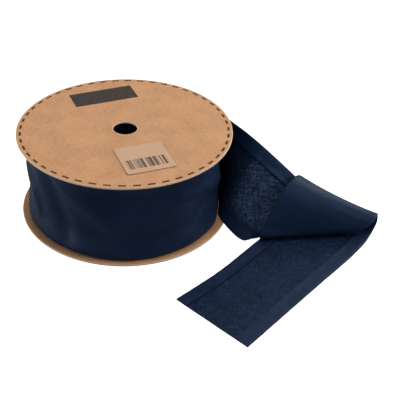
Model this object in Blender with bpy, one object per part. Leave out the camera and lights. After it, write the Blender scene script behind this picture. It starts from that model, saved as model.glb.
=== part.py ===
"""A reel of 50 mm bias binding: two card discs, the wound tape between them,
and the loose end, which leaves the roll, loops back over itself and runs out
flat on the table. Metres, +Z up, standing on the lower disc."""
import bpy
import bmesh
from math import atan2, cos, degrees, exp, pi, radians, sin
from mathutils import Vector

MM = 0.001

# The reel
DISC_RADIUS = 65.0 * MM
DISC_THICKNESS = 1.15 * MM
DISC_EDGE = 0.25 * MM
SPINDLE_RADIUS = 7.35 * MM
REEL_HEIGHT = 54.6 * MM
GAP = 0.3 * MM
ROUND_STEPS = 96

# The wound tape: its radius falls by one loose turn from where the outer
# turn ends, once round
ROLL_RADIUS = 58.2 * MM
ROLL_BORE = 9.0 * MM
ROLL_STEP = 1.5 * MM
ROLL_WAIST = 0.7 * MM
TURN_END = 84.0
STEP_ANGLE = 0.6
ROLL_ROWS = 14

# The cloth strip
CLOTH = 1.0 * MM
TAPE_COLUMNS = 10
ROW_STEPS = 6
WRAP_START = 1.2
WRAP_STEP = 5.0

# The paper label on the upper disc, in the print's own square
PRINT_TURN = 18.6
LABEL_SIZE = (29.0 * MM, 28.5 * MM, 0.3 * MM)
LABEL_PLACE = (-0.7 * MM, -35.9 * MM)
LABEL_TURN = -1.5

# Creases in the outer turns. Angles are in degrees round the reel from +X,
# heights and depths in millimetres; a ridge is positive, a hollow negative.
# Columns: start angle, start height, end angle, end height, depth, width.
CREASES = (
    (-163, 23, -144, 10, 0.7, 4.0),
    (-138, 43, -116, 35, 0.9, 4.0),
    (-116, 35, -103, 17, 0.8, 4.0),
    (-137, 37, -124, 17, -0.9, 4.5),
    (-101, 38, -70, 35, -0.8, 6.0),
    (-52, 37, -8, 29, 1.0, 5.0),
    (-36, 25, -18, 20, -2.6, 6.0),
    (-38, 27, -56, 10, 0.9, 4.5),
    (40, 34, 75, 20, -0.9, 6.0),
    (120, 16, 150, 36, 0.8, 5.0),
)

# The loose end, as lines laid across the cloth from its lower edge to its
# upper edge, from the roll to the cut end. Millimetres from the reel's axis
# and the table. Columns: name, lower edge x, y, z, upper edge x, y, z, and
# how far the middle of the line dips.
LINES = (
    ("leaves the roll", 43.4, 40.5, 2.4, 43.4, 40.5, 52.4, 0.0),
    ("past the rim", 63.5, 20.5, 3.0, 57.5, 24.5, 51.9, 0.0),
    ("leans back", 57.6, -21.5, 3.3, 81.0, -3.5, 45.5, 0.0),
    ("meets the table", 70.0, -43.0, 0.8, 104.8, -14.8, 26.6, 0.0),
    ("goes under the loop", 75.0, -42.5, 1.2, 126.0, -31.0, 11.5, 0.0),
    ("front roll, below", 81.0, -41.5, 2.2, 136.0, -33.0, 2.4, 0.0),
    ("front roll, front", 79.8, -45.8, 4.3, 137.5, -41.0, 3.4, 0.4),
    ("front roll, above", 81.8, -42.9, 9.0, 142.0, -43.2, 6.9, 0.0),
    ("loop rising", 87.3, -37.6, 18.2, 148.2, -42.0, 10.4, 0.2),
    ("loop, upper part", 92.9, -31.8, 26.4, 151.0, -39.3, 12.5, 0.6),
    ("back roll, front", 100.2, -24.4, 30.8, 152.3, -36.8, 13.2, 1.2),
    ("back roll, top", 105.6, -16.3, 29.0, 153.4, -34.6, 11.8, 1.4),
    ("back roll, back", 113.0, -6.0, 17.0, 153.4, -35.6, 7.4, 0.8),
    ("back roll, below", 112.0, -8.5, 5.0, 150.0, -40.0, 3.0, 0.0),
    ("on the table", 104.0, -18.0, 0.6, 143.0, -49.0, 0.6, 0.0),
    ("past the loop", 92.0, -30.5, 0.5, 132.0, -61.5, 0.5, 0.0),
    ("halfway out", 75.0, -48.5, 0.5, 109.3, -84.3, 0.5, 0.0),
    ("near the end", 52.6, -72.3, 0.5, 86.2, -107.7, 0.5, 0.0),
    ("cut end", 26.7, -95.1, 0.5, 61.1, -133.2, 0.5, 0.0),
)

KRAFT = (0.58, 0.32, 0.17, 1.0)
NAVY = (0.008, 0.014, 0.032, 1.0)
PAPER = (0.45, 0.30, 0.20, 1.0)


def clear_scene():
    for obj in list(bpy.data.objects):
        bpy.data.objects.remove(obj, do_unlink=True)


def make_material(name, colour, roughness):
    material = bpy.data.materials.new(name)
    material.use_nodes = True
    shader = material.node_tree.nodes["Principled BSDF"]
    shader.inputs["Base Color"].default_value = colour
    shader.inputs["Roughness"].default_value = roughness
    shader.inputs["Metallic"].default_value = 0.0
    return material


def add_object(name, bm, material, parent, sharp_angle):
    bmesh.ops.recalc_face_normals(bm, faces=bm.faces)
    mesh = bpy.data.meshes.new(name)
    bm.to_mesh(mesh)
    bm.free()
    mesh.materials.append(material)
    mesh.shade_smooth()
    mesh.set_sharp_from_angle(angle=radians(sharp_angle))
    obj = bpy.data.objects.new(name, mesh)
    obj.parent = parent
    bpy.context.collection.objects.link(obj)
    return obj


def spin_profile(points):
    """Turns a closed outline of (radius, height) points round the Z axis."""
    bm = bmesh.new()
    verts = [bm.verts.new((radius, 0.0, height)) for radius, height in points]
    edges = [bm.edges.new((a, b)) for a, b in zip(verts, verts[1:] + verts[:1])]
    bmesh.ops.spin(bm, geom=verts + edges, cent=(0, 0, 0), axis=(0, 0, 1),
                   angle=2 * pi, steps=ROUND_STEPS, use_merge=True)
    return bm


def card_disc(name, bottom, material, parent):
    """A card disc with its spindle hole and slightly worn edges."""
    top = bottom + DISC_THICKNESS
    outline = [
        (SPINDLE_RADIUS, bottom),
        (DISC_RADIUS - DISC_EDGE, bottom),
        (DISC_RADIUS, bottom + DISC_EDGE),
        (DISC_RADIUS, top - DISC_EDGE),
        (DISC_RADIUS - DISC_EDGE, top),
        (SPINDLE_RADIUS, top),
    ]
    return add_object(name, spin_profile(outline), material, parent, 30)


def crease_depth(angle, height):
    """How far the creases push the outer turns out at one place."""
    depth = 0.0
    for start, z0, end, z1, size, width in CREASES:
        run = Vector(((end - start) * pi / 180 * ROLL_RADIUS / MM, z1 - z0))
        turn = (angle - start + 180) % 360 - 180
        place = Vector((turn * pi / 180 * ROLL_RADIUS / MM, height / MM - z0))
        along = max(0.0, min(1.0, place.dot(run) / run.length_squared))
        away = (place - run * along).length
        depth += size * exp(-(away / width) ** 2)
    return depth * MM


def roll_radius(angle, height, low, high):
    """Radius of the wound tape: a spiral with a soft waist and its creases."""
    turn = ((angle - TURN_END) % 360) / 360
    middle = (height - low) / (high - low) * 2 - 1
    waist = ROLL_WAIST * (1 - middle ** 2)
    crease = crease_depth(angle, height) * (1 - middle ** 6)
    return ROLL_RADIUS + ROLL_STEP * (1 - turn) - waist + crease


def wound_tape(material, parent):
    """The wound tape as one solid ring, closed by a step where its outer
    turn ends and the loose end begins."""
    low = DISC_THICKNESS + GAP
    high = REEL_HEIGHT - DISC_THICKNESS - GAP
    bm = bmesh.new()
    angles = [TURN_END + 360 * i / ROUND_STEPS for i in range(ROUND_STEPS)]
    angles.append(TURN_END + 360 - STEP_ANGLE)
    rings = []
    for angle in angles:
        outward = Vector((cos(radians(angle)), sin(radians(angle)), 0))
        ring = [bm.verts.new(outward * ROLL_BORE + Vector((0, 0, high)))]
        ring.append(bm.verts.new(outward * ROLL_BORE + Vector((0, 0, low))))
        for row in range(ROLL_ROWS + 1):
            height = low + (high - low) * row / ROLL_ROWS
            radius = roll_radius(angle, height, low, high)
            ring.append(bm.verts.new(outward * radius + Vector((0, 0, height))))
        rings.append(ring)
    for ring, after in zip(rings, rings[1:] + rings[:1]):
        for i in range(len(ring)):
            j = (i + 1) % len(ring)
            bm.faces.new((ring[i], after[i], after[j], ring[j]))
    return add_object("wound_tape", bm, material, parent, 40)


def smooth_run(points, steps):
    """Points along a centripetal Catmull-Rom curve through the given points."""
    first = points[0] * 2 - points[1]
    last = points[-1] * 2 - points[-2]
    ends = [first] + points + [last]
    run = []
    for p0, p1, p2, p3 in zip(ends, ends[1:], ends[2:], ends[3:]):
        k0, k1, k2 = (max((b - a).length, MM * MM) ** 0.5
                      for a, b in ((p0, p1), (p1, p2), (p2, p3)))
        out = ((p1 - p0) / k0 - (p2 - p0) / (k0 + k1) + (p2 - p1) / k1) * k1
        into = ((p2 - p1) / k1 - (p3 - p1) / (k1 + k2) + (p3 - p2) / k2) * k1
        for i in range(steps):
            u = i / steps
            run.append(p1 * (2 * u**3 - 3 * u**2 + 1) + out * (u**3 - 2 * u**2 + u)
                       + p2 * (3 * u**2 - 2 * u**3) + into * (u**3 - u**2))
    run.append(points[-1])
    return run


def wrapped_start():
    """Lines across the cloth while it still lies on the roll, from the step
    in the roll to the first line of the table."""
    name, x, y, low, x, y, high, dip = LINES[0]
    radius = Vector((x, y)).length
    leave = degrees(atan2(y, x))
    lines = []
    angle = TURN_END - WRAP_START
    while angle > leave + WRAP_STEP:
        place = (radius * cos(radians(angle)), radius * sin(radians(angle)))
        lines.append((name, *place, low, *place, high, dip))
        angle -= WRAP_STEP
    return lines


def loose_end(material, parent):
    """The loose end as one sheet: its two edges are smooth curves through
    the table's lines, and the cloth is straight across between them. Where
    it lies down, its underside is level with the discs'."""
    lines = wrapped_start() + list(LINES)
    lower = smooth_run([Vector(line[1:4]) * MM for line in lines], ROW_STEPS)
    upper = smooth_run([Vector(line[4:7]) * MM for line in lines], ROW_STEPS)
    dips = smooth_run([Vector((0, 0, line[7])) * MM for line in lines], ROW_STEPS)
    bm = bmesh.new()
    rows = []
    for a, b, dip in zip(lower, upper, dips):
        row = []
        for i in range(TAPE_COLUMNS + 1):
            u = i / TAPE_COLUMNS
            place = a.lerp(b, u) - dip * 4 * u * (1 - u)
            row.append(bm.verts.new((place.x, place.y, max(place.z, CLOTH / 2))))
        rows.append(row)
    for row, after in zip(rows, rows[1:]):
        for i in range(TAPE_COLUMNS):
            bm.faces.new((row[i], after[i], after[i + 1], row[i + 1]))
    sheet = add_object("loose_end", bm, material, parent, 60)
    solid = sheet.modifiers.new("cloth thickness", "SOLIDIFY")
    solid.thickness = CLOTH
    solid.offset = 0.0
    solid.use_even_offset = True
    return sheet


def paper_label(material, parent):
    """The square paper label stuck on the upper disc."""
    width, depth, height = LABEL_SIZE
    bm = bmesh.new()
    bmesh.ops.create_cube(bm, size=1.0)
    bmesh.ops.scale(bm, vec=(width, depth, height), verts=bm.verts)
    label = add_object("label", bm, material, parent, 30)
    turn = radians(PRINT_TURN)
    x, y = LABEL_PLACE
    label.location = (x * cos(turn) - y * sin(turn), x * sin(turn) + y * cos(turn),
                      REEL_HEIGHT + GAP + height / 2)
    label.rotation_euler.z = turn + radians(LABEL_TURN)
    return label


def stand_on_origin(frame, pieces):
    """Moves the whole part so that its box stands centred on the origin."""
    bpy.context.view_layer.update()
    graph = bpy.context.evaluated_depsgraph_get()
    corners = []
    for piece in pieces:
        evaluated = piece.evaluated_get(graph)
        corners += [piece.matrix_world @ v.co for v in evaluated.data.vertices]
    low = Vector(min(c[i] for c in corners) for i in range(3))
    high = Vector(max(c[i] for c in corners) for i in range(3))
    frame.location = (-(low.x + high.x) / 2, -(low.y + high.y) / 2, -low.z)


def main():
    clear_scene()
    frame = bpy.data.objects.new("reel_axis", None)
    bpy.context.collection.objects.link(frame)
    kraft = make_material("kraft_card", KRAFT, 0.75)
    navy = make_material("navy_cotton", NAVY, 0.85)
    paper = make_material("label_paper", PAPER, 0.55)
    pieces = [
        card_disc("flange_bottom", 0.0, kraft, frame),
        card_disc("flange_top", REEL_HEIGHT - DISC_THICKNESS, kraft, frame),
        wound_tape(navy, frame),
        loose_end(navy, frame),
        paper_label(paper, frame),
    ]
    stand_on_origin(frame, pieces)


main()
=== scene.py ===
# %% [markdown]
# # A reel of bias tape with its loose end
# The object is two card discs with fifty-millimetre cotton tape wound between
# them, and the last third of a metre of that tape lying on the table in a soft
# loop. The CAD model gives the places and sizes. This script dresses it: finer
# discs, the folds of the wound tape, the pressed hems of the loose end, and
# card, cotton and paper finishes. Everything is in metres.

# %% Load the model
import bpy
from bisect import bisect_right
from math import atan2, cos, degrees, exp, hypot, pi, radians, sin
from mathutils import Matrix, Vector


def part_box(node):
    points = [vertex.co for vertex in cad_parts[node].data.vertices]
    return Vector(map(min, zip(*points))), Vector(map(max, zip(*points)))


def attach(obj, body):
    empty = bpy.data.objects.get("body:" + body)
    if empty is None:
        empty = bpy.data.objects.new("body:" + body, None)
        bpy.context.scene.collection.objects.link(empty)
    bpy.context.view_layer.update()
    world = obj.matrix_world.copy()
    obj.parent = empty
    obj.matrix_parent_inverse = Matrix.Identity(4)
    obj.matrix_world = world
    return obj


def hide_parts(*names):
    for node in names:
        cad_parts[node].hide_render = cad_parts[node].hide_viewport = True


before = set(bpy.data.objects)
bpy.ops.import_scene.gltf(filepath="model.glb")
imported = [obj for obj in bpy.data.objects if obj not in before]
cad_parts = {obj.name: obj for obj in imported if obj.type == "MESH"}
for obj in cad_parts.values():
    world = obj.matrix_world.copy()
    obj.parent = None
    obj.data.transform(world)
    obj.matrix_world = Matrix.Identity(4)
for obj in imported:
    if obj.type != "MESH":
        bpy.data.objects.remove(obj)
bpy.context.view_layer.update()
bpy.ops.object.select_all(action="DESELECT")
MM = 0.001
low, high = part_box("flange_bottom")
AXIS = Vector(((low[0] + high[0]) / 2, (low[1] + high[1]) / 2, 0.0))
print("nodes", sorted(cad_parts), "reel axis", tuple(round(v, 5) for v in AXIS))

# %% [markdown]
# ## Camera
# A camera can be placed by eye or worked out from the picture. A disc seen at
# a slant is an ellipse whose height over width gives the sine of the slant,
# and two discs of one size at two heights give the distance. Those numbers
# came out as a 77 mm lens, about 55 cm away and 35 degrees above the table.

# %% Camera
CAMERA_PLACE = Vector((0.0, -447.69, 314.16)) * MM
YAW, PITCH, ROLL = radians(6.02), radians(34.86), radians(2.46)
ahead = Vector((sin(YAW) * cos(PITCH), cos(YAW) * cos(PITCH), -sin(PITCH)))
level = Vector((cos(YAW), -sin(YAW), 0.0))
upward = level.cross(ahead)
across = level * cos(ROLL) + upward * sin(ROLL)
upright = upward * cos(ROLL) - level * sin(ROLL)
bpy.ops.object.camera_add(location=AXIS + CAMERA_PLACE)
camera = bpy.context.object
camera.name = "camera"
camera.rotation_euler = Matrix((across, upright, -ahead)).transposed().to_euler()
camera.data.sensor_width = 36.0
camera.data.lens = 76.6
bpy.context.scene.camera = camera
print("camera at", tuple(round(v, 3) for v in camera.location))

# %% [markdown]
# ## Floor and light
# The picture is a bright studio shot on white with hardly any shadow. One hard
# lamp would throw a dark shadow, so the light is soft: six square panels stand
# round the reel and over it, and each draws the folds on its own side. The sky
# is almost dark, because an even glow from everywhere would wash the folds out.
# The floor is grey to the panels, which keeps it from lighting the reel from
# below, and glows white to the camera alone.

# %% Floor
FLOOR_SIZE = 60.0
FLOOR_DROP = 0.2 * MM
bpy.ops.mesh.primitive_plane_add(size=FLOOR_SIZE, location=(0, 0, -FLOOR_DROP))
floor = bpy.context.object
floor.name = "floor"
paint = bpy.data.materials.new("floor_paint")
paint.use_nodes = True
shader = paint.node_tree.nodes["Principled BSDF"]
shader.inputs["Base Color"].default_value = (0.45, 0.45, 0.45, 1)
shader.inputs["Roughness"].default_value = 0.9
shader.inputs["Specular IOR Level"].default_value = 0.0
shader.inputs["Emission Color"].default_value = (1, 1, 1, 1)
seen = paint.node_tree.nodes.new("ShaderNodeLightPath")
paint.node_tree.links.new(seen.outputs["Is Camera Ray"], shader.inputs["Emission Strength"])
floor.data.materials.append(paint)
print("floor", FLOOR_SIZE, "m")

# %% Sky and panels
world = bpy.data.worlds.new("studio")
bpy.context.scene.world = world
world.use_nodes = True
sky = world.node_tree.nodes["Background"]
sky.inputs["Color"].default_value = (1.0, 1.0, 1.0, 1)
sky.inputs["Strength"].default_value = 0.01
bpy.context.scene.view_settings.view_transform = "Standard"
AIM = Vector((0.02, -0.02, 0.03))
# name, place from the foot of the reel's axis and side of the square in metres, watts
PANELS = (
    ("back panel", (0.0, 0.75, 0.75), 0.6, 3.6),
    ("right back panel", (1.0, 0.6, 0.5), 0.6, 9.5),
    ("right panel", (1.05, -0.25, 0.6), 0.6, 9.5),
    ("overhead panel", (0.1, -0.05, 1.2), 0.6, 6.2),
    ("left panel", (-1.1, 0.1, 0.2), 0.4, 7.0),
    ("front panel", (-0.8, -0.8, 0.4), 0.6, 3.2),
)
for name, place, side, watts in PANELS:
    spot = AXIS + Vector(place)
    bpy.ops.object.light_add(type="AREA", location=spot)
    light = bpy.context.object
    light.name = name
    light.data.size = side
    light.data.energy = watts
    light.rotation_euler = (AXIS + AIM - spot).to_track_quat("-Z", "Y").to_euler()

# %% [markdown]
# ## Small helpers for modelling
# Operators act on whatever is selected, so each step starts with nothing
# selected and picks its own vertices, edges or faces by where they are.

# %% Modelling helpers
def edit(piece, mode="VERT"):
    """Opens one piece in edit mode with nothing selected."""
    if bpy.context.mode != "OBJECT":
        bpy.ops.object.mode_set(mode="OBJECT")
    bpy.ops.object.select_all(action="DESELECT")
    bpy.context.view_layer.objects.active = piece
    piece.select_set(True)
    bpy.ops.object.mode_set(mode="EDIT")
    bpy.ops.mesh.select_mode(type=mode)
    bpy.ops.mesh.select_all(action="DESELECT")


def pick(piece, kind, test):
    """Selects the vertices, edges or faces whose middle passes a test."""
    bpy.ops.mesh.select_all(action="DESELECT")
    bpy.ops.object.mode_set(mode="OBJECT")
    mesh = piece.data
    found = 0
    for item in getattr(mesh, kind):
        if kind == "vertices":
            middle = item.co
        elif kind == "edges":
            middle = sum((mesh.vertices[i].co for i in item.vertices), Vector()) / 2
        else:
            middle = item.center
        item.select = bool(test(middle, item))
        found += item.select
    bpy.ops.object.mode_set(mode="EDIT")
    return found


def settle(piece):
    """Back to object mode, with the piece's place put into its mesh."""
    bpy.ops.object.mode_set(mode="OBJECT")
    bpy.ops.object.select_all(action="DESELECT")
    bpy.context.view_layer.objects.active = piece
    piece.select_set(True)
    bpy.ops.object.transform_apply(location=True, rotation=True, scale=True)


def tell(piece):
    """Prints how many faces a piece has, and its size."""
    box = [piece.matrix_world @ Vector(c) for c in piece.bound_box]
    size = [(max(c[i] for c in box) - min(c[i] for c in box)) / MM for i in range(3)]
    print(piece.name, len(piece.data.polygons), "faces,",
          " x ".join(f"{s:.1f}" for s in size), "mm")

# %% [markdown]
# ## The card discs
# Each end of the reel is a disc die-cut from kraft board a little over a
# millimetre thick. The die presses both rims slightly round, and the board
# never lies quite flat. A cylinder with a hole cut through it would leave long
# thin faces, so the disc's cross-section is drawn instead, its corners are
# rounded, and it is spun once round the reel's axis.

# %% Disc sizes
DISC_RADIUS = 65.0 * MM
DISC_THICKNESS = 1.15 * MM
SPINDLE_RADIUS = 7.35 * MM
REEL_HEIGHT = 54.6 * MM
RIM_ROUND = 0.32 * MM
FACE_CUTS = 23
ROUND_STEPS = 240
WARP = 0.12 * MM
WARP_PHASE = 1.1


# %% A disc from its cross-section
def card_disc(name, bottom, warp):
    """A disc spun from its section, with rims pressed round by the die."""
    width = DISC_RADIUS - SPINDLE_RADIUS
    middle = AXIS + Vector((SPINDLE_RADIUS + width / 2, 0, bottom + DISC_THICKNESS / 2))
    bpy.ops.mesh.primitive_plane_add(size=1.0, location=middle, rotation=(pi / 2, 0, 0))
    disc = bpy.context.object
    disc.name = name
    disc.scale = (width, DISC_THICKNESS, 1.0)
    settle(disc)
    edit(disc)
    bpy.ops.mesh.select_all(action="SELECT")
    bpy.ops.mesh.bevel(offset=RIM_ROUND, segments=4, affect="VERTICES")
    bpy.ops.mesh.select_all(action="SELECT")
    bpy.ops.mesh.delete(type="ONLY_FACE")
    edit(disc, "EDGE")

    def is_long(m, e):
        a, b = (disc.data.vertices[i].co for i in e.vertices)
        return (a - b).length > width / 2

    pick(disc, "edges", is_long)
    bpy.ops.mesh.subdivide(number_cuts=FACE_CUTS)
    bpy.ops.mesh.select_all(action="SELECT")
    bpy.ops.mesh.spin(steps=ROUND_STEPS, angle=2 * pi, center=AXIS, axis=(0, 0, 1))
    bpy.ops.mesh.select_all(action="SELECT")
    bpy.ops.mesh.remove_doubles(threshold=0.005 * MM)
    bpy.ops.mesh.normals_make_consistent(inside=False)
    settle(disc)
    for v in disc.data.vertices:
        arm = v.co - AXIS
        share = hypot(arm.x, arm.y) / DISC_RADIUS
        v.co.z += warp * share ** 2 * cos(2 * atan2(arm.y, arm.x) - WARP_PHASE)
    bpy.ops.object.shade_smooth_by_angle(angle=radians(40))
    tell(disc)
    return disc


bottom_disc = card_disc("bottom_disc", 0.0, 0.0)
top_disc = card_disc("top_disc", REEL_HEIGHT - DISC_THICKNESS, WARP)

# %% [markdown]
# ## The wound tape
# Between the discs lies the roll: many turns of folded tape, of which only the
# outermost shows. It is a spiral, so its radius falls by one loose turn in
# going once round, and bias-cut cloth slackens into slanting creases. A plain
# cylinder would look like plastic. A finely divided one, whose skin is moved
# out and in along the creases that the picture shows, reads as cloth. Low on
# the front the loose turns slide outwards over the lower disc, as a foot.

# %% Sizes of the roll
ROLL_RADIUS = 58.2 * MM
ROLL_BORE = 9.0 * MM
ROLL_STEP = 1.5 * MM
TURN_END = 84.0
DISC_GAP = 0.3 * MM
ROLL_LOW = DISC_THICKNESS + DISC_GAP
ROLL_HIGH = REEL_HEIGHT - DISC_THICKNESS - DISC_GAP
WAIST, LIP, WAVE = 0.7 * MM, 0.35 * MM, 0.10 * MM

# %% Creases of the roll
# depth and width in mm, then angle (degrees) and height (mm) of each place on it
CREASES = (
    (2.0, 3.4, (-172, 40), (-156, 27), (-149, 12)),
    (-3.2, 5.8, (-147, 50), (-134, 30), (-122, 2)),
    (3.0, 7.0, (-136, 52), (-116, 38), (-100, 26), (-90, 8)),
    (-2.4, 8.0, (-106, 54), (-82, 40), (-60, 46)),
    (1.8, 5.0, (-66, 34), (-42, 35), (-22, 29), (4, 18)),
    (-2.2, 4.6, (-50, 21), (-30, 23), (-8, 18)),
    (1.5, 5.5, (-37, 24), (-44, 14), (-58, 2)),
    (-0.6, 7.0, (-92, 22), (-62, 14)),
    (-1.2, 6.0, (36, 36), (78, 18)),
    (1.2, 5.0, (116, 14), (154, 38)),
    (-0.9, 5.0, (168, 10), (196, 36)),
    (1.0, 4.5, (92, 28), (121, 43)),
    (1.3, 13.0, (-190, 0), (-178, 26), (-172, 56)),
)
print("creases", len(CREASES))


# %% Radius of the roll at one place
def crease_depth(angle, height):
    """How far the creases move the skin at one angle (degrees) and height."""
    depth = 0.0
    arc = radians(1.0) * ROLL_RADIUS / MM
    for size, width, *points in CREASES:
        turn = (angle - points[0][0] + 180) % 360 - 180
        here = Vector((turn * arc, height / MM))
        spots = [Vector(((a - points[0][0]) * arc, z)) for a, z in points]
        nearest, share = 1000.0, 0.0
        for i, (start, stop) in enumerate(zip(spots, spots[1:])):
            run = stop - start
            along = max(0.0, min(1.0, (here - start).dot(run) / run.length_squared))
            gap = (here - start - run * along).length
            if gap < nearest:
                nearest, share = gap, (i + along) / (len(spots) - 1)
        depth += size * exp(-(nearest / width) ** 2) * (1 - (2 * share - 1) ** 4)
    return depth * MM


def share_past(value, start, stop):
    """How far a value has come from start to stop, between 0 and 1."""
    return min(max((value - start) / (stop - start), 0.0), 1.0)


def foot_spread(angle, height):
    """How far the lowest cloth spreads on the front, where nothing holds it."""
    turn = (angle + 180) % 360 - 180
    if turn > 0:
        turn -= 360
    front = share_past(turn, -13, -27) * share_past(turn, -200, -160)
    low = share_past(height / MM, 17, 4)
    low = low * low * (3 - 2 * low)
    tucked = max(0.0, 1 - (height - ROLL_LOW) / (2.4 * MM)) ** 2
    bulge = 2.3 + 1.7 * exp(-((turn + 86) / 38) ** 2)
    return front * (bulge * low - 1.3 * tucked) * MM


def roll_radius(angle, height):
    """The spiral, its soft waist, the creases, a faint wave and the foot."""
    turn = ((angle - TURN_END) % 360) / 360
    middle = (height - ROLL_LOW) / (ROLL_HIGH - ROLL_LOW) * 2 - 1
    slack = WAIST * (1 - middle ** 2) + LIP * abs(middle) ** 30
    crease = crease_depth(angle, height) * (1 - middle ** 6)
    wave = WAVE * sin(radians(angle) * 9 + height / MM * 0.35) * (1 - middle ** 4)
    spiral = ROLL_RADIUS + ROLL_STEP * (1 - turn)
    return spiral - slack + crease + wave + foot_spread(angle, height)


# %% The roll
TURN_COLUMNS, SKIN_CUTS = 420, 51
bpy.ops.mesh.primitive_cylinder_add(
    vertices=TURN_COLUMNS, radius=ROLL_RADIUS, depth=ROLL_HIGH - ROLL_LOW,
    end_fill_type="NOTHING", location=AXIS + Vector((0, 0, (ROLL_LOW + ROLL_HIGH) / 2)))
roll = bpy.context.object
roll.name = "wound_turns"
settle(roll)
edit(roll, "EDGE")
print("rims", pick(roll, "edges", lambda m, e: min(abs(m.z - ROLL_LOW), abs(m.z - ROLL_HIGH)) < 1e-6))
outside = ROLL_RADIUS
for inside in (ROLL_RADIUS - 14 * MM, ROLL_RADIUS - 34 * MM, ROLL_BORE):
    bpy.ops.mesh.extrude_region_move()
    ratio = inside / outside
    bpy.ops.transform.resize(value=(ratio, ratio, 1), center_override=AXIS)
    outside = inside
bpy.ops.mesh.bridge_edge_loops()


def is_upright(m, e):
    a, b = (roll.data.vertices[i].co for i in e.vertices)
    return abs(a.z - b.z) > 1 * MM and hypot(*(m - AXIS).xy) > ROLL_RADIUS / 2


print("uprights", pick(roll, "edges", is_upright))
bpy.ops.mesh.subdivide(number_cuts=SKIN_CUTS)
bpy.ops.mesh.select_all(action="SELECT")
bpy.ops.mesh.remove_doubles(threshold=0.005 * MM)
bpy.ops.mesh.normals_make_consistent(inside=False)
settle(roll)

# %% [markdown]
# The skin is moved last. Its columns are first shared out so that two of them
# stand close together where the outer turn leaves the roll, which keeps that
# little step crisp. The same loop writes a UV map in metres, round the roll
# and up it, so that the weave keeps its size everywhere.

# %% Spiral, creases and UV map
STEP_ANGLE = 0.5
FIRST_COLUMN = 90


def shared_angle(column):
    """Angles run once round from the step, and the last one stops just short."""
    share = column / (TURN_COLUMNS - 1)
    return TURN_END + (360 - STEP_ANGLE) * share


place_of = {}
for v in roll.data.vertices:
    arm = v.co - AXIS
    round_share = (degrees(atan2(arm.y, arm.x)) - FIRST_COLUMN) % 360 / 360
    column = round(round_share * TURN_COLUMNS) % TURN_COLUMNS
    angle = shared_angle(column)
    reach = hypot(arm.x, arm.y)
    if reach > ROLL_RADIUS - 1 * MM:
        reach = roll_radius(angle, v.co.z)
    place_of[v.index] = (radians(angle - TURN_END) * ROLL_RADIUS, v.co.z)
    turned = Vector((cos(radians(angle)), sin(radians(angle)), 0)) * reach
    v.co = Vector((AXIS.x, AXIS.y, v.co.z)) + turned
layer = roll.data.uv_layers.active or roll.data.uv_layers.new(name="flat")
layer.name = "flat"
for loop in roll.data.loops:
    layer.data[loop.index].uv = place_of[loop.vertex_index]
bpy.ops.object.shade_smooth_by_angle(angle=radians(50))
tell(roll)

# %% [markdown]
# ## The loose end
# The last third of a metre leaves the roll on the right, leans back, meets the
# table, rolls over itself in a soft loop and runs out to a cut end. Cloth can
# be simulated, but a simulation settles in its own folds and not in the ones
# seen here. So the tape is laid out flat as it was cut, its two edges are
# pressed over as hems, and it is then carried along lines measured across it.

# %% Lines across the tape
# lower edge x, y, z, upper edge x, y, z, dip of the middle: mm from the axis
LINES = (
    # leaving the roll
    (43.4, 40.5, 2.4, 43.4, 40.5, 52.4, 0.0),
    (58.9, 15.5, 1.7, 57.5, 24.5, 51.9, 0.0),
    (59.6, -3.0, 1.9, 68.8, 10.0, 50.0, 0.0),
    # leaning back, and under the loop
    (57.6, -21.5, 3.3, 81.0, -3.5, 45.5, 0.0),
    (70.0, -43.0, 0.8, 104.8, -14.8, 26.6, 0.0),
    (75.0, -42.5, 1.2, 126.0, -31.0, 11.5, 0.0),
    (81.0, -41.5, 2.2, 136.0, -33.0, 2.4, 0.0),
    # up the front of the loop
    (79.8, -45.8, 4.3, 137.5, -41.0, 3.4, 0.4),
    (81.8, -42.9, 9.0, 142.0, -43.2, 6.9, 0.0),
    (87.3, -37.6, 18.2, 148.2, -42.0, 10.4, 0.2),
    (92.9, -31.8, 26.4, 151.0, -39.3, 12.5, 0.6),
    # over its top and down behind
    (100.2, -24.4, 30.8, 152.3, -36.8, 13.2, 1.2),
    (105.6, -16.3, 29.0, 153.4, -34.6, 11.8, 1.4),
    (113.0, -6.0, 17.0, 153.4, -35.6, 7.4, 0.8),
    (112.0, -8.5, 5.0, 150.0, -40.0, 3.0, 0.0),
    # flat on the table to the cut end
    (104.0, -18.0, 0.6, 143.0, -49.0, 0.6, 0.0),
    (92.0, -30.5, 0.5, 132.0, -61.5, 0.5, 0.0),
    (75.0, -48.5, 0.5, 109.3, -84.3, 0.5, 0.0),
    (52.6, -72.3, 0.5, 86.2, -107.7, 0.5, 0.0),
    (26.7, -95.1, 0.5, 61.1, -133.2, 0.5, 0.0),
)
print("lines across the tape", len(LINES))


# %% A smooth run through points
def smooth_run(points, steps):
    """Points along a centripetal Catmull-Rom curve through the given points."""
    ends = [points[0] * 2 - points[1]] + points + [points[-1] * 2 - points[-2]]
    run = []
    for p0, p1, p2, p3 in zip(ends, ends[1:], ends[2:], ends[3:]):
        k0, k1, k2 = (max((b - a).length, 1e-6) ** 0.5
                      for a, b in ((p0, p1), (p1, p2), (p2, p3)))
        out = ((p1 - p0) / k0 - (p2 - p0) / (k0 + k1) + (p2 - p1) / k1) * k1
        into = ((p2 - p1) / k1 - (p3 - p1) / (k1 + k2) + (p3 - p2) / k2) * k1
        for i in range(steps):
            u = i / steps
            run.append(p1 * (2 * u**3 - 3 * u**2 + 1) + out * (u**3 - 2 * u**2 + u)
                       + p2 * (3 * u**2 - 2 * u**3) + into * (u**3 - u**2))
    run.append(points[-1])
    return run


# %% The run of the tape, from the roll to the cut end
WRAP_STEP = 5.0
FINE = 24


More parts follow.
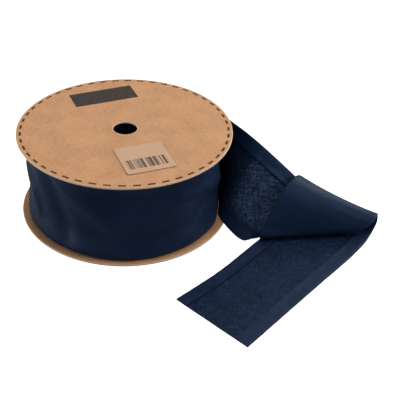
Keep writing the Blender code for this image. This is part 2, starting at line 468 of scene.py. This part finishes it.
def wrapped_start():
    """Lines across the tape while it still lies on the roll."""
    x, y, z0, _, _, z1, dip = LINES[0]
    reach, leave = hypot(x, y), degrees(atan2(y, x))
    lines, angle = [], TURN_END - 0.2
    while angle > leave + WRAP_STEP:
        px, py = reach * cos(radians(angle)), reach * sin(radians(angle))
        lines.append((px, py, z0, px, py, z1, dip))
        angle -= WRAP_STEP
    return lines


lines = wrapped_start() + list(LINES)
lower_run = smooth_run([Vector(l[0:3]) * MM for l in lines], FINE)
upper_run = smooth_run([Vector(l[3:6]) * MM for l in lines], FINE)
dip_run = smooth_run([Vector((0, 0, l[6])) * MM for l in lines], FINE)
travel = [0.0]
for i in range(1, len(lower_run)):
    a = (lower_run[i] + upper_run[i]) / 2
    b = (lower_run[i - 1] + upper_run[i - 1]) / 2
    travel.append(travel[-1] + (a - b).length)
TAPE_LENGTH = travel[-1]
print("length of the loose end", round(TAPE_LENGTH / MM, 1), "mm")

# %% [markdown]
# The flat strip is a grid nearly 68 mm wide: 50 mm of tape, 8 mm turned in
# along each side, and the small round of the two folds. Its section goes from
# one cut edge to the fold, across, and back from the other fold, so the hems
# are real cloth lying on cloth and not a painted line.

# %% The pressed section
TAPE_WIDTH = 50.0 * MM
HEM = 8.0 * MM
CLOTH = 0.42 * MM
LIFT = 0.25 * MM
HEM_CELLS, FOLD_CELLS, WIDTH_CELLS = 8, 4, 32
ROWS = 300


def section():
    """Places across the cut cloth: flat distance, place across, and height."""
    path = []
    fold = pi * LIFT
    for i in range(HEM_CELLS):
        path.append((HEM * i / HEM_CELLS, HEM - HEM * i / HEM_CELLS, LIFT))
    for i in range(FOLD_CELLS):
        a = pi * (i + 0.5) / FOLD_CELLS
        path.append((HEM + fold * (i + 0.5) / FOLD_CELLS, -LIFT * sin(a), LIFT * cos(a)))
    for i in range(WIDTH_CELLS + 1):
        across = TAPE_WIDTH * i / WIDTH_CELLS
        path.append((HEM + fold + across, across, -LIFT))
    for i in range(FOLD_CELLS):
        a = pi * (i + 0.5) / FOLD_CELLS
        path.append((HEM + fold + TAPE_WIDTH + fold * (i + 0.5) / FOLD_CELLS,
                     TAPE_WIDTH + LIFT * sin(a), -LIFT * cos(a)))
    for i in range(1, HEM_CELLS + 1):
        path.append((HEM + 2 * fold + TAPE_WIDTH + HEM * i / HEM_CELLS,
                     TAPE_WIDTH - HEM * i / HEM_CELLS, LIFT))
    return path


SECTION = section()

# %% The flat strip
bpy.ops.mesh.primitive_grid_add(x_subdivisions=len(SECTION) - 1, y_subdivisions=ROWS,
                                size=1.0, location=(0, 0, 0))
tape = bpy.context.object
tape.name = "loose_tape"
columns = len(SECTION)
cell = {}
for v in tape.data.vertices:
    column = round((v.co.x + 0.5) * (columns - 1))
    row = round((v.co.y + 0.5) * ROWS)
    cell[v.index] = (column, row)
layer = tape.data.uv_layers.active
layer.name = "flat"
for loop in tape.data.loops:
    column, row = cell[loop.vertex_index]
    layer.data[loop.index].uv = (SECTION[column][0], TAPE_LENGTH * row / ROWS)
print("grid", columns, "by", ROWS + 1)


# %% Where each place of the strip goes
TABLE_GAP = 0.5 * MM
LOOK_AHEAD = 1.2 * MM


def middle_surface(distance, u):
    """The tape's middle surface at a distance along it and a share across."""
    distance = min(max(distance, 0.0), TAPE_LENGTH)
    i = min(max(bisect_right(travel, distance) - 1, 0), len(travel) - 2)
    t = (distance - travel[i]) / max(travel[i + 1] - travel[i], 1e-9)
    a = lower_run[i].lerp(lower_run[i + 1], t)
    b = upper_run[i].lerp(upper_run[i + 1], t)
    dip = dip_run[i].lerp(dip_run[i + 1], t)
    place = a.lerp(b, u) - dip * 4 * u * (1 - u)
    place.z = max(place.z, TABLE_GAP)
    return place


def strip_place(distance, across, height):
    """Carries a place of the pressed section to where the tape lies."""
    u = across / TAPE_WIDTH
    inside = min(max(u, 0.0), 1.0)
    here = middle_surface(distance, inside)
    ahead = middle_surface(distance + LOOK_AHEAD, inside)
    along = ahead - middle_surface(distance - LOOK_AHEAD, inside)
    over = middle_surface(distance, 1.0) - middle_surface(distance, 0.0)
    normal = along.cross(over).normalized()
    return here + over.normalized() * (u - inside) * TAPE_WIDTH + normal * height


# %% Uneven cloth
def unevenness(distance, across, column):
    """A faint wave all over, slack hems, and cut edges that stand off the cloth."""
    d = distance / MM
    from_cut = min(column, columns - 1 - column)
    wave = 0.05 * sin(d * 0.9 + across / MM * 0.3) + 0.04 * sin(d * 0.37 + 1.3)
    slack = 0.06 * (1 + sin(d * 0.55 + column)) if from_cut < HEM_CELLS else 0.0
    lifted = (0.55 if column < HEM_CELLS else 0.40) + 0.2 * sin(d * 0.11)
    return (wave + slack + max(0.0, 1 - from_cut / 3) * lifted) * MM


for v in tape.data.vertices:
    column, row = cell[v.index]
    _, across, height = SECTION[column]
    distance = TAPE_LENGTH * row / ROWS
    place = strip_place(distance, across, height + unevenness(distance, across, column))
    place.z = max(place.z, CLOTH / 2 + 0.02 * MM)
    v.co = AXIS + place
tell(tape)

# %% [markdown]
# Solidify gives the strip the thickness of cotton. Its second material slot
# goes to the inner shell, so that the smooth right side and the dull wrong
# side of the cloth can have finishes of their own.

# %% Thickness of the cloth
settle(tape)
solid = tape.modifiers.new("cloth", "SOLIDIFY")
solid.thickness = CLOTH
solid.offset = 0.0
solid.material_offset = 1
solid.material_offset_rim = 0
right_side = bpy.data.materials.new("cotton_right_side")
wrong_side = bpy.data.materials.new("cotton_wrong_side")
tape.data.materials.append(right_side)
tape.data.materials.append(wrong_side)
bpy.ops.object.modifier_apply(modifier=solid.name)
bpy.ops.object.shade_smooth_by_angle(angle=radians(60))
tell(tape)

# %% [markdown]
# ## The paper label
# A square of thin paper is stuck on the upper disc. It is a divided plane, so
# that its corners can lift by a hair, with the thickness of paper added.

# %% Label
PRINT_TURN = 18.6
LABEL_TURN = -1.5
LABEL_SIZE = (29.0 * MM, 28.5 * MM)
LABEL_PLACE = Vector((-0.7, -35.9, 0.0)) * MM
LABEL_CORNER = 20.3 * MM
CORNER_LIFT = 0.14 * MM
PAPER_THICKNESS = 0.1 * MM
turn = Matrix.Rotation(radians(PRINT_TURN), 3, "Z")
centre = AXIS + turn @ LABEL_PLACE + Vector((0, 0, REEL_HEIGHT + 0.2 * MM))
bpy.ops.mesh.primitive_plane_add(
    size=1.0, location=centre, rotation=(0, 0, radians(PRINT_TURN + LABEL_TURN)))
label = bpy.context.object
label.name = "paper_label"
label.scale = (*LABEL_SIZE, 1.0)
settle(label)
edit(label)
bpy.ops.mesh.select_all(action="SELECT")
bpy.ops.mesh.subdivide(number_cuts=15)
settle(label)
for v in label.data.vertices:
    v.co.z += CORNER_LIFT * ((v.co - centre).length / LABEL_CORNER) ** 4
solid = label.modifiers.new("paper", "SOLIDIFY")
solid.thickness = PAPER_THICKNESS
solid.offset = 1.0
bpy.ops.object.modifier_apply(modifier=solid.name)
bpy.ops.object.shade_smooth_by_angle(angle=radians(40))
tell(label)

# %% [markdown]
# ## Finishes
# A flat colour never looks like card or cloth. Each finish is built from nodes
# that read the piece's own coordinates in metres, so that a fibre or a thread
# keeps its real size. The few effects that several finishes share are groups.

# %% Node helpers
def feed(tree, socket, value):
    """Links a socket to another one, or sets it to a plain value."""
    if isinstance(value, bpy.types.NodeSocket):
        tree.links.new(value, socket)
    else:
        socket.default_value = value


def put(tree, kind, **values):
    """Adds a node. Names with a capital are sockets, the rest are settings."""
    item = tree.nodes.new(kind)
    for name, value in values.items():
        if name[0].isupper():
            feed(tree, item.inputs[name.replace("_", " ")], value)
        else:
            setattr(item, name, value)
    return item


def calc(tree, operation, *values):
    """A Math node with its inputs set or linked in order."""
    item = put(tree, "ShaderNodeMath", operation=operation)
    for socket, value in zip(item.inputs, values):
        feed(tree, socket, value)
    return item.outputs[0]


def fade(tree, value, start, stop, low=0.0, high=1.0):
    """Maps a value smoothly from one range to another."""
    item = put(tree, "ShaderNodeMapRange", interpolation_type="SMOOTHSTEP", Value=value,
               From_Min=start, From_Max=stop, To_Min=low, To_Max=high)
    return item.outputs[0]


def blend_colours(tree, amount, under, over, kind="MIX"):
    """Mixes two colours by an amount."""
    item = put(tree, "ShaderNodeMix", data_type="RGBA", blend_type=kind)
    for place, value in ((0, amount), (6, under), (7, over)):
        feed(tree, item.inputs[place], value)
    return item.outputs[2]


def darken(tree, colour, tone):
    """Multiplies a colour by one grey tone."""
    grey = put(tree, "ShaderNodeCombineColor", Red=tone, Green=tone, Blue=tone)
    return blend_colours(tree, 1.0, colour, grey.outputs[0], "MULTIPLY")


# %% Group and material helpers
def new_group(name, inputs, outputs):
    """A shader node group with named sockets."""
    tree = bpy.data.node_groups.new(name, "ShaderNodeTree")
    for side, sockets in (("INPUT", inputs), ("OUTPUT", outputs)):
        for title, kind in sockets:
            tree.interface.new_socket(name=title, in_out=side, socket_type=f"NodeSocket{kind}")
    given = tree.nodes.new("NodeGroupInput").outputs
    return tree, given, tree.nodes.new("NodeGroupOutput").inputs


def use_group(tree, group, **values):
    """Places a group in a material, with its named inputs set or linked."""
    return put(tree, "ShaderNodeGroup", node_tree=group, **values).outputs


def open_material(name):
    """A material with its shader, ready for nodes."""
    material = bpy.data.materials.get(name) or bpy.data.materials.new(name)
    material.use_nodes = True
    return material, material.node_tree, material.node_tree.nodes["Principled BSDF"]


def roughen(tree, shader, height, strength, depth):
    """Gives a surface its fine relief with a Bump node."""
    bump = put(tree, "ShaderNodeBump", Height=height, Strength=strength, Distance=depth)
    tree.links.new(bump.outputs[0], shader.inputs["Normal"])


def print_square(tree, coord, turn):
    """Places in mm from the reel's axis, squared up to a print turned so far."""
    square = put(tree, "ShaderNodeMapping", vector_type="TEXTURE", Vector=coord, Location=AXIS,
                 Rotation=(0.0, 0.0, radians(turn)), Scale=(MM, MM, MM))
    return put(tree, "ShaderNodeSeparateXYZ", Vector=square.outputs[0]).outputs

# %% [markdown]
# ### Card fibre
# Kraft board is pulp from long brown fibres: faintly cloudy over a centimetre
# or two, streaky at a millimetre, with a few dark and pale flecks. Three noises
# of those sizes, mixed weakly, give that without making it look dirty.

# %% Card fibre group
fibre, given, result = new_group(
    "card_fibre", (("Vector", "Vector"), ("Colour", "Color"), ("Amount", "Float")),
    (("Colour", "Color"), ("Height", "Float")))
cloud = put(fibre, "ShaderNodeTexNoise", Vector=given["Vector"], Scale=70.0, Detail=3.0)
squeeze = put(fibre, "ShaderNodeMapping", Vector=given["Vector"], Scale=(1.0, 3.6, 1.0),
              Rotation=(0.0, 0.0, radians(12)))
streak = put(fibre, "ShaderNodeTexNoise", Vector=squeeze.outputs[0], Scale=420.0,
             Detail=4.0, Roughness=0.65)
fleck = put(fibre, "ShaderNodeTexNoise", Vector=squeeze.outputs[0], Scale=900.0, Detail=1.0)
tone = calc(fibre, "MULTIPLY_ADD", cloud.outputs[0], 0.10, 0.95)
tone = calc(fibre, "MULTIPLY_ADD", streak.outputs[0], 0.22, calc(fibre, "SUBTRACT", tone, 0.11))
dark = fade(fibre, fleck.outputs[0], 0.66, 0.76, 0.0, 0.16)
tone = calc(fibre, "SUBTRACT", tone, dark)
tone = calc(fibre, "MULTIPLY_ADD", calc(fibre, "SUBTRACT", tone, 1.0), given["Amount"], 1.0)
fibre.links.new(darken(fibre, given["Colour"], tone), result["Colour"])
fibre.links.new(streak.outputs[0], result["Height"])
print("group", fibre.name)

# %% [markdown]
# ### Plain weave
# The cloth is plain-woven cotton, one thread over and one under. It was cut on
# the bias, so both sets of threads run at 45 degrees to the tape. Two waves
# multiplied give the crossings, and long thin noises along each set of threads
# give the slubs, which are the thicker, paler places in the yarn.

# %% Plain weave group
weave, given, result = new_group(
    "plain_weave", (("Vector", "Vector"), ("Pitch", "Float")),
    (("Height", "Float"), ("Slub", "Float"), ("Cloud", "Float")))
bias = put(weave, "ShaderNodeMapping", Vector=given["Vector"], Rotation=(0.0, 0.0, radians(45)))
parts = put(weave, "ShaderNodeSeparateXYZ", Vector=bias.outputs[0])
waves = []
for part in (parts.outputs[0], parts.outputs[1]):
    turns = calc(weave, "DIVIDE", part, given["Pitch"])
    waves.append(calc(weave, "SINE", calc(weave, "MULTIPLY", turns, pi)))
crossing = calc(weave, "MULTIPLY", waves[0], waves[1])
# noise scales along a thread and across it, and how much each noise adds
SLUBS = ((240.0, 2100.0, 0.6), (190.0, 900.0, 0.8))
slub = 0.0
for along_thread, over_thread, share in SLUBS:
    for scale in ((along_thread, over_thread, 1.0), (over_thread, along_thread, 1.0)):
        long = put(weave, "ShaderNodeMapping", Vector=bias.outputs[0], Scale=scale)
        noise = put(weave, "ShaderNodeTexNoise", Vector=long.outputs[0], Scale=1.0, Detail=2.0)
        slub = calc(weave, "MULTIPLY_ADD", fade(weave, noise.outputs[0], 0.48, 0.74), share, slub)
weave.links.new(calc(weave, "MULTIPLY_ADD", slub, 0.5, crossing), result["Height"])
weave.links.new(slub, result["Slub"])
cloud = put(weave, "ShaderNodeTexNoise", Vector=given["Vector"], Scale=45.0, Detail=3.0)
weave.links.new(cloud.outputs[0], result["Cloud"])
print("group", weave.name)

# %% [markdown]
# ### Kraft card
# Both discs are the same board. Its faces are calendered and a little smoother
# than its cut edges, where the fibres stand open and look paler. The distance
# from the reel's axis tells an edge from a face.

# %% Kraft card material
KRAFT = (0.445, 0.238, 0.122, 1)
KRAFT_FIBRE = 4.2
EDGE = (0.53, 0.385, 0.27, 1)
FACE_ROUGHNESS, EDGE_ROUGHNESS = 0.62, 0.9


def kraft_card(name, printed):
    """The board's faces and cut edges, with the print if there is one."""
    material, tree, shader = open_material(name)
    coord = put(tree, "ShaderNodeTexCoord").outputs["Object"]
    parts = print_square(tree, coord, PRINT_TURN)
    flat = put(tree, "ShaderNodeCombineXYZ", X=parts[0], Y=parts[1]).outputs[0]
    reach = put(tree, "ShaderNodeVectorMath", operation="LENGTH", Vector=flat).outputs["Value"]
    made = use_group(tree, fibre, Vector=coord, Colour=KRAFT, Amount=KRAFT_FIBRE)
    rim = DISC_RADIUS / MM
    hole = SPINDLE_RADIUS / MM
    outer = fade(tree, reach, rim - 0.65, rim - 0.25)
    inner = fade(tree, reach, hole + 0.5, hole + 0.2)
    edge = calc(tree, "MAXIMUM", outer, inner)
    colour = blend_colours(tree, edge, made["Colour"], EDGE)
    rough = fade(tree, edge, 0.0, 1.0, FACE_ROUGHNESS, EDGE_ROUGHNESS)
    if printed:
        colour, rough = print_ink(tree, parts, reach, colour, rough)
    tree.links.new(colour, shader.inputs["Base Color"])
    tree.links.new(rough, shader.inputs["Roughness"])
    shader.inputs["Specular IOR Level"].default_value = 0.06
    roughen(tree, shader, made["Height"], 0.25, 0.05 * MM)
    return material

# %% [markdown]
# ### The print on the upper disc
# A ring of forty-eight short dashes runs round the rim like a line of running
# stitch, and one dark panel fills the far side. Both are drawn by measuring:
# the place in the round for a dash, the place in a square for the panel. The
# ink sinks into the board a little unevenly, so some brown shows through.

# %% Print
# lengths in mm, the first dash in degrees
DASHES, RING, DASH_LENGTH, DASH_WIDTH, FIRST_DASH = 48, 62.5, 4.3, 1.4, 1.8
PANEL_CENTRE, PANEL_SIZE = (0.4, 43.2), (41.2, 17.0)
PANEL_INK = (0.024, 0.022, 0.020, 1)
DASH_INK = (0.042, 0.022, 0.010, 1)
INK_GLOSS = 0.12


def within(tree, value, middle, size, blur):
    """A soft mask that is 1 where a value lies in a span of this size."""
    off = calc(tree, "ABSOLUTE", calc(tree, "SUBTRACT", value, middle))
    return fade(tree, off, size / 2 + blur, size / 2 - blur)


def dash_mask(tree, parts, reach):
    """Masks the dashes by the angle round the axis and the distance from it."""
    angle = calc(tree, "ARCTAN2", parts[1], parts[0])
    turned = calc(tree, "SUBTRACT", angle, radians(FIRST_DASH))
    count = calc(tree, "MULTIPLY", turned, DASHES / (2 * pi))
    off = calc(tree, "SUBTRACT", count, calc(tree, "ROUND", count))
    along_ring = calc(tree, "MULTIPLY", off, 2 * pi / DASHES * RING)
    return calc(tree, "MULTIPLY", within(tree, along_ring, 0.0, DASH_LENGTH, 0.15),
                within(tree, reach, RING, DASH_WIDTH, 0.1))


def print_ink(tree, parts, reach, colour, rough):
    """Adds the printed dashes and the dark panel to the card's colour."""
    top = REEL_HEIGHT / MM
    upper = fade(tree, parts[2], top - 0.5, top - 0.3)
    coord = put(tree, "ShaderNodeTexCoord").outputs["Object"]
    patch = put(tree, "ShaderNodeTexNoise", Vector=coord, Scale=900.0, Detail=3.0)
    cover = calc(tree, "MULTIPLY", fade(tree, patch.outputs[0], 0.25, 0.45, 0.82, 0.97), upper)
    dashes = calc(tree, "MULTIPLY", dash_mask(tree, parts, reach), cover)
    inside = cover
    for part, middle, size in zip(parts, PANEL_CENTRE, PANEL_SIZE):
        inside = calc(tree, "MULTIPLY", within(tree, part, middle, size, 0.08), inside)
    colour = blend_colours(tree, dashes, colour, DASH_INK)
    colour = blend_colours(tree, inside, colour, PANEL_INK)
    return colour, calc(tree, "MULTIPLY_ADD", inside, -INK_GLOSS, rough)


plain_card = kraft_card("kraft_plain", False)
printed_card = kraft_card("kraft_printed", True)
print("card", plain_card.name, printed_card.name)

# %% [markdown]
# ### Cotton
# The right side of the cloth is pressed and smooth, and catches a soft bluish
# gleam on a fold. The wrong side is duller and shows its slubs. A little sheen
# stands for the fine fuzz that makes cotton paler where it turns away. Where
# the tape stands upright beside the reel, light comes through the cloth and
# the slubs look paler. Real see-through cloth is slow to render, so that
# stretch gets a paler tone, found by its place along the flat tape.

# %% Cotton colours
NAVY = (0.0032, 0.0098, 0.0300, 1)
DULL_NAVY = (0.0026, 0.0083, 0.0255, 1)
PALE_YARN = (0.024, 0.036, 0.066, 1)
GLEAM_TINT = (0.55, 0.75, 1.0, 1)
SHEEN_TINT = (0.45, 0.6, 1.0, 1)
THREAD_PITCH = 0.36 * MM
print("thread pitch", round(THREAD_PITCH / MM, 2), "mm")


# %% Cotton materials
def upright_stretch(tree, flat):
    """Masks the lit stretch by its place along the tape and across it."""
    parts = put(tree, "ShaderNodeSeparateXYZ", Vector=flat).outputs
    begins, ends = fade(tree, parts[1], 0.101, 0.108), fade(tree, parts[1], 0.150, 0.140)
    along = calc(tree, "MULTIPLY", begins, ends)
    return calc(tree, "MULTIPLY", along, fade(tree, parts[0], 0.012, 0.026))


def cotton(name, colour, slub_amount, gleam, depth):
    """One side of the cloth: its weave, slubs, faint clouds and gleam."""
    _, tree, shader = open_material(name)
    flat = put(tree, "ShaderNodeUVMap", uv_map="flat").outputs[0]
    made = use_group(tree, weave, Vector=flat, Pitch=THREAD_PITCH)
    lit = upright_stretch(tree, flat)
    slubs = calc(tree, "MULTIPLY", made["Slub"], slub_amount)
    slubs = calc(tree, "MULTIPLY", slubs, calc(tree, "MULTIPLY_ADD", lit, 2.1, 1.0))
    shade = fade(tree, made["Cloud"], 0.3, 0.7, 0.86, 1.14)
    shade = calc(tree, "MULTIPLY", shade, calc(tree, "MULTIPLY_ADD", lit, 0.45, 1.0))
    base = darken(tree, blend_colours(tree, slubs, colour, PALE_YARN), shade)
    tree.links.new(base, shader.inputs["Base Color"])
    shader.inputs["Roughness"].default_value = 0.5
    shader.inputs["Specular IOR Level"].default_value = gleam
    shader.inputs["Specular Tint"].default_value = GLEAM_TINT
    shader.inputs["Sheen Weight"].default_value = 0.02
    shader.inputs["Sheen Roughness"].default_value = 0.5
    shader.inputs["Sheen Tint"].default_value = SHEEN_TINT
    roughen(tree, shader, made["Height"], 0.35, depth)


cotton("cotton_right_side", NAVY, 0.08, 0.14, 0.05 * MM)
cotton("cotton_wrong_side", DULL_NAVY, 0.42, 0.05, 0.09 * MM)
print("cotton", right_side.name, wrong_side.name)

# %% [markdown]
# ### Label paper
# The label is thin, slightly see-through paper, a shade pinker than the board.
# Its only mark is a plain block of dark bars of uneven widths. Each bar is a
# narrow step along the label that a white noise makes dark or leaves pale.

# %% Label material
# mm from the reel's axis, along the label and across it
BARS_X, BARS_Y, BAR_STEP = (-11.8, 11.8), (-45.8, -36.0), 0.34
PAPER = (0.452, 0.279, 0.178, 1)
BAR_INK = (0.05, 0.038, 0.03, 1)
material, tree, shader = open_material("label_paper")
coord = put(tree, "ShaderNodeTexCoord").outputs["Object"]
parts = print_square(tree, coord, PRINT_TURN + LABEL_TURN)
made = use_group(tree, fibre, Vector=coord, Colour=PAPER, Amount=0.45)
number = calc(tree, "FLOOR", calc(tree, "DIVIDE", parts[0], BAR_STEP))
dice = put(tree, "ShaderNodeTexWhiteNoise", noise_dimensions="1D", W=number)
bars = fade(tree, dice.outputs[0], 0.38, 0.40)
for part, (start, stop) in zip(parts, (BARS_X, BARS_Y)):
    bars = calc(tree, "MULTIPLY", bars, fade(tree, part, start - 0.05, start + 0.05))
    bars = calc(tree, "MULTIPLY", bars, fade(tree, part, stop + 0.05, stop - 0.05))
colour = blend_colours(tree, calc(tree, "MULTIPLY", bars, 0.9), made["Colour"], BAR_INK)
tree.links.new(colour, shader.inputs["Base Color"])
shader.inputs["Roughness"].default_value = 0.5
shader.inputs["Specular IOR Level"].default_value = 0.1
roughen(tree, shader, made["Height"], 0.1, 0.03 * MM)
label.data.materials.append(material)
print("label", material.name)

# %% [markdown]
# ## Handing over
# Each piece is hung on the root body, and the CAD node it stands for is hidden.
# The roll and the discs get their finishes here.

# %% Which piece is what
roll.data.materials.append(right_side)
bottom_disc.data.materials.append(plain_card)
top_disc.data.materials.append(printed_card)
for piece, node, slot in ((bottom_disc, "flange_bottom", "kraft_card"),
                          (top_disc, "flange_top", "kraft_card"),
                          (roll, "wound_tape", "navy_cotton"),
                          (tape, "loose_end", "navy_cotton"),
                          (label, "label", "label_paper")):
    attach(piece, "root")
    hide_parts(node)
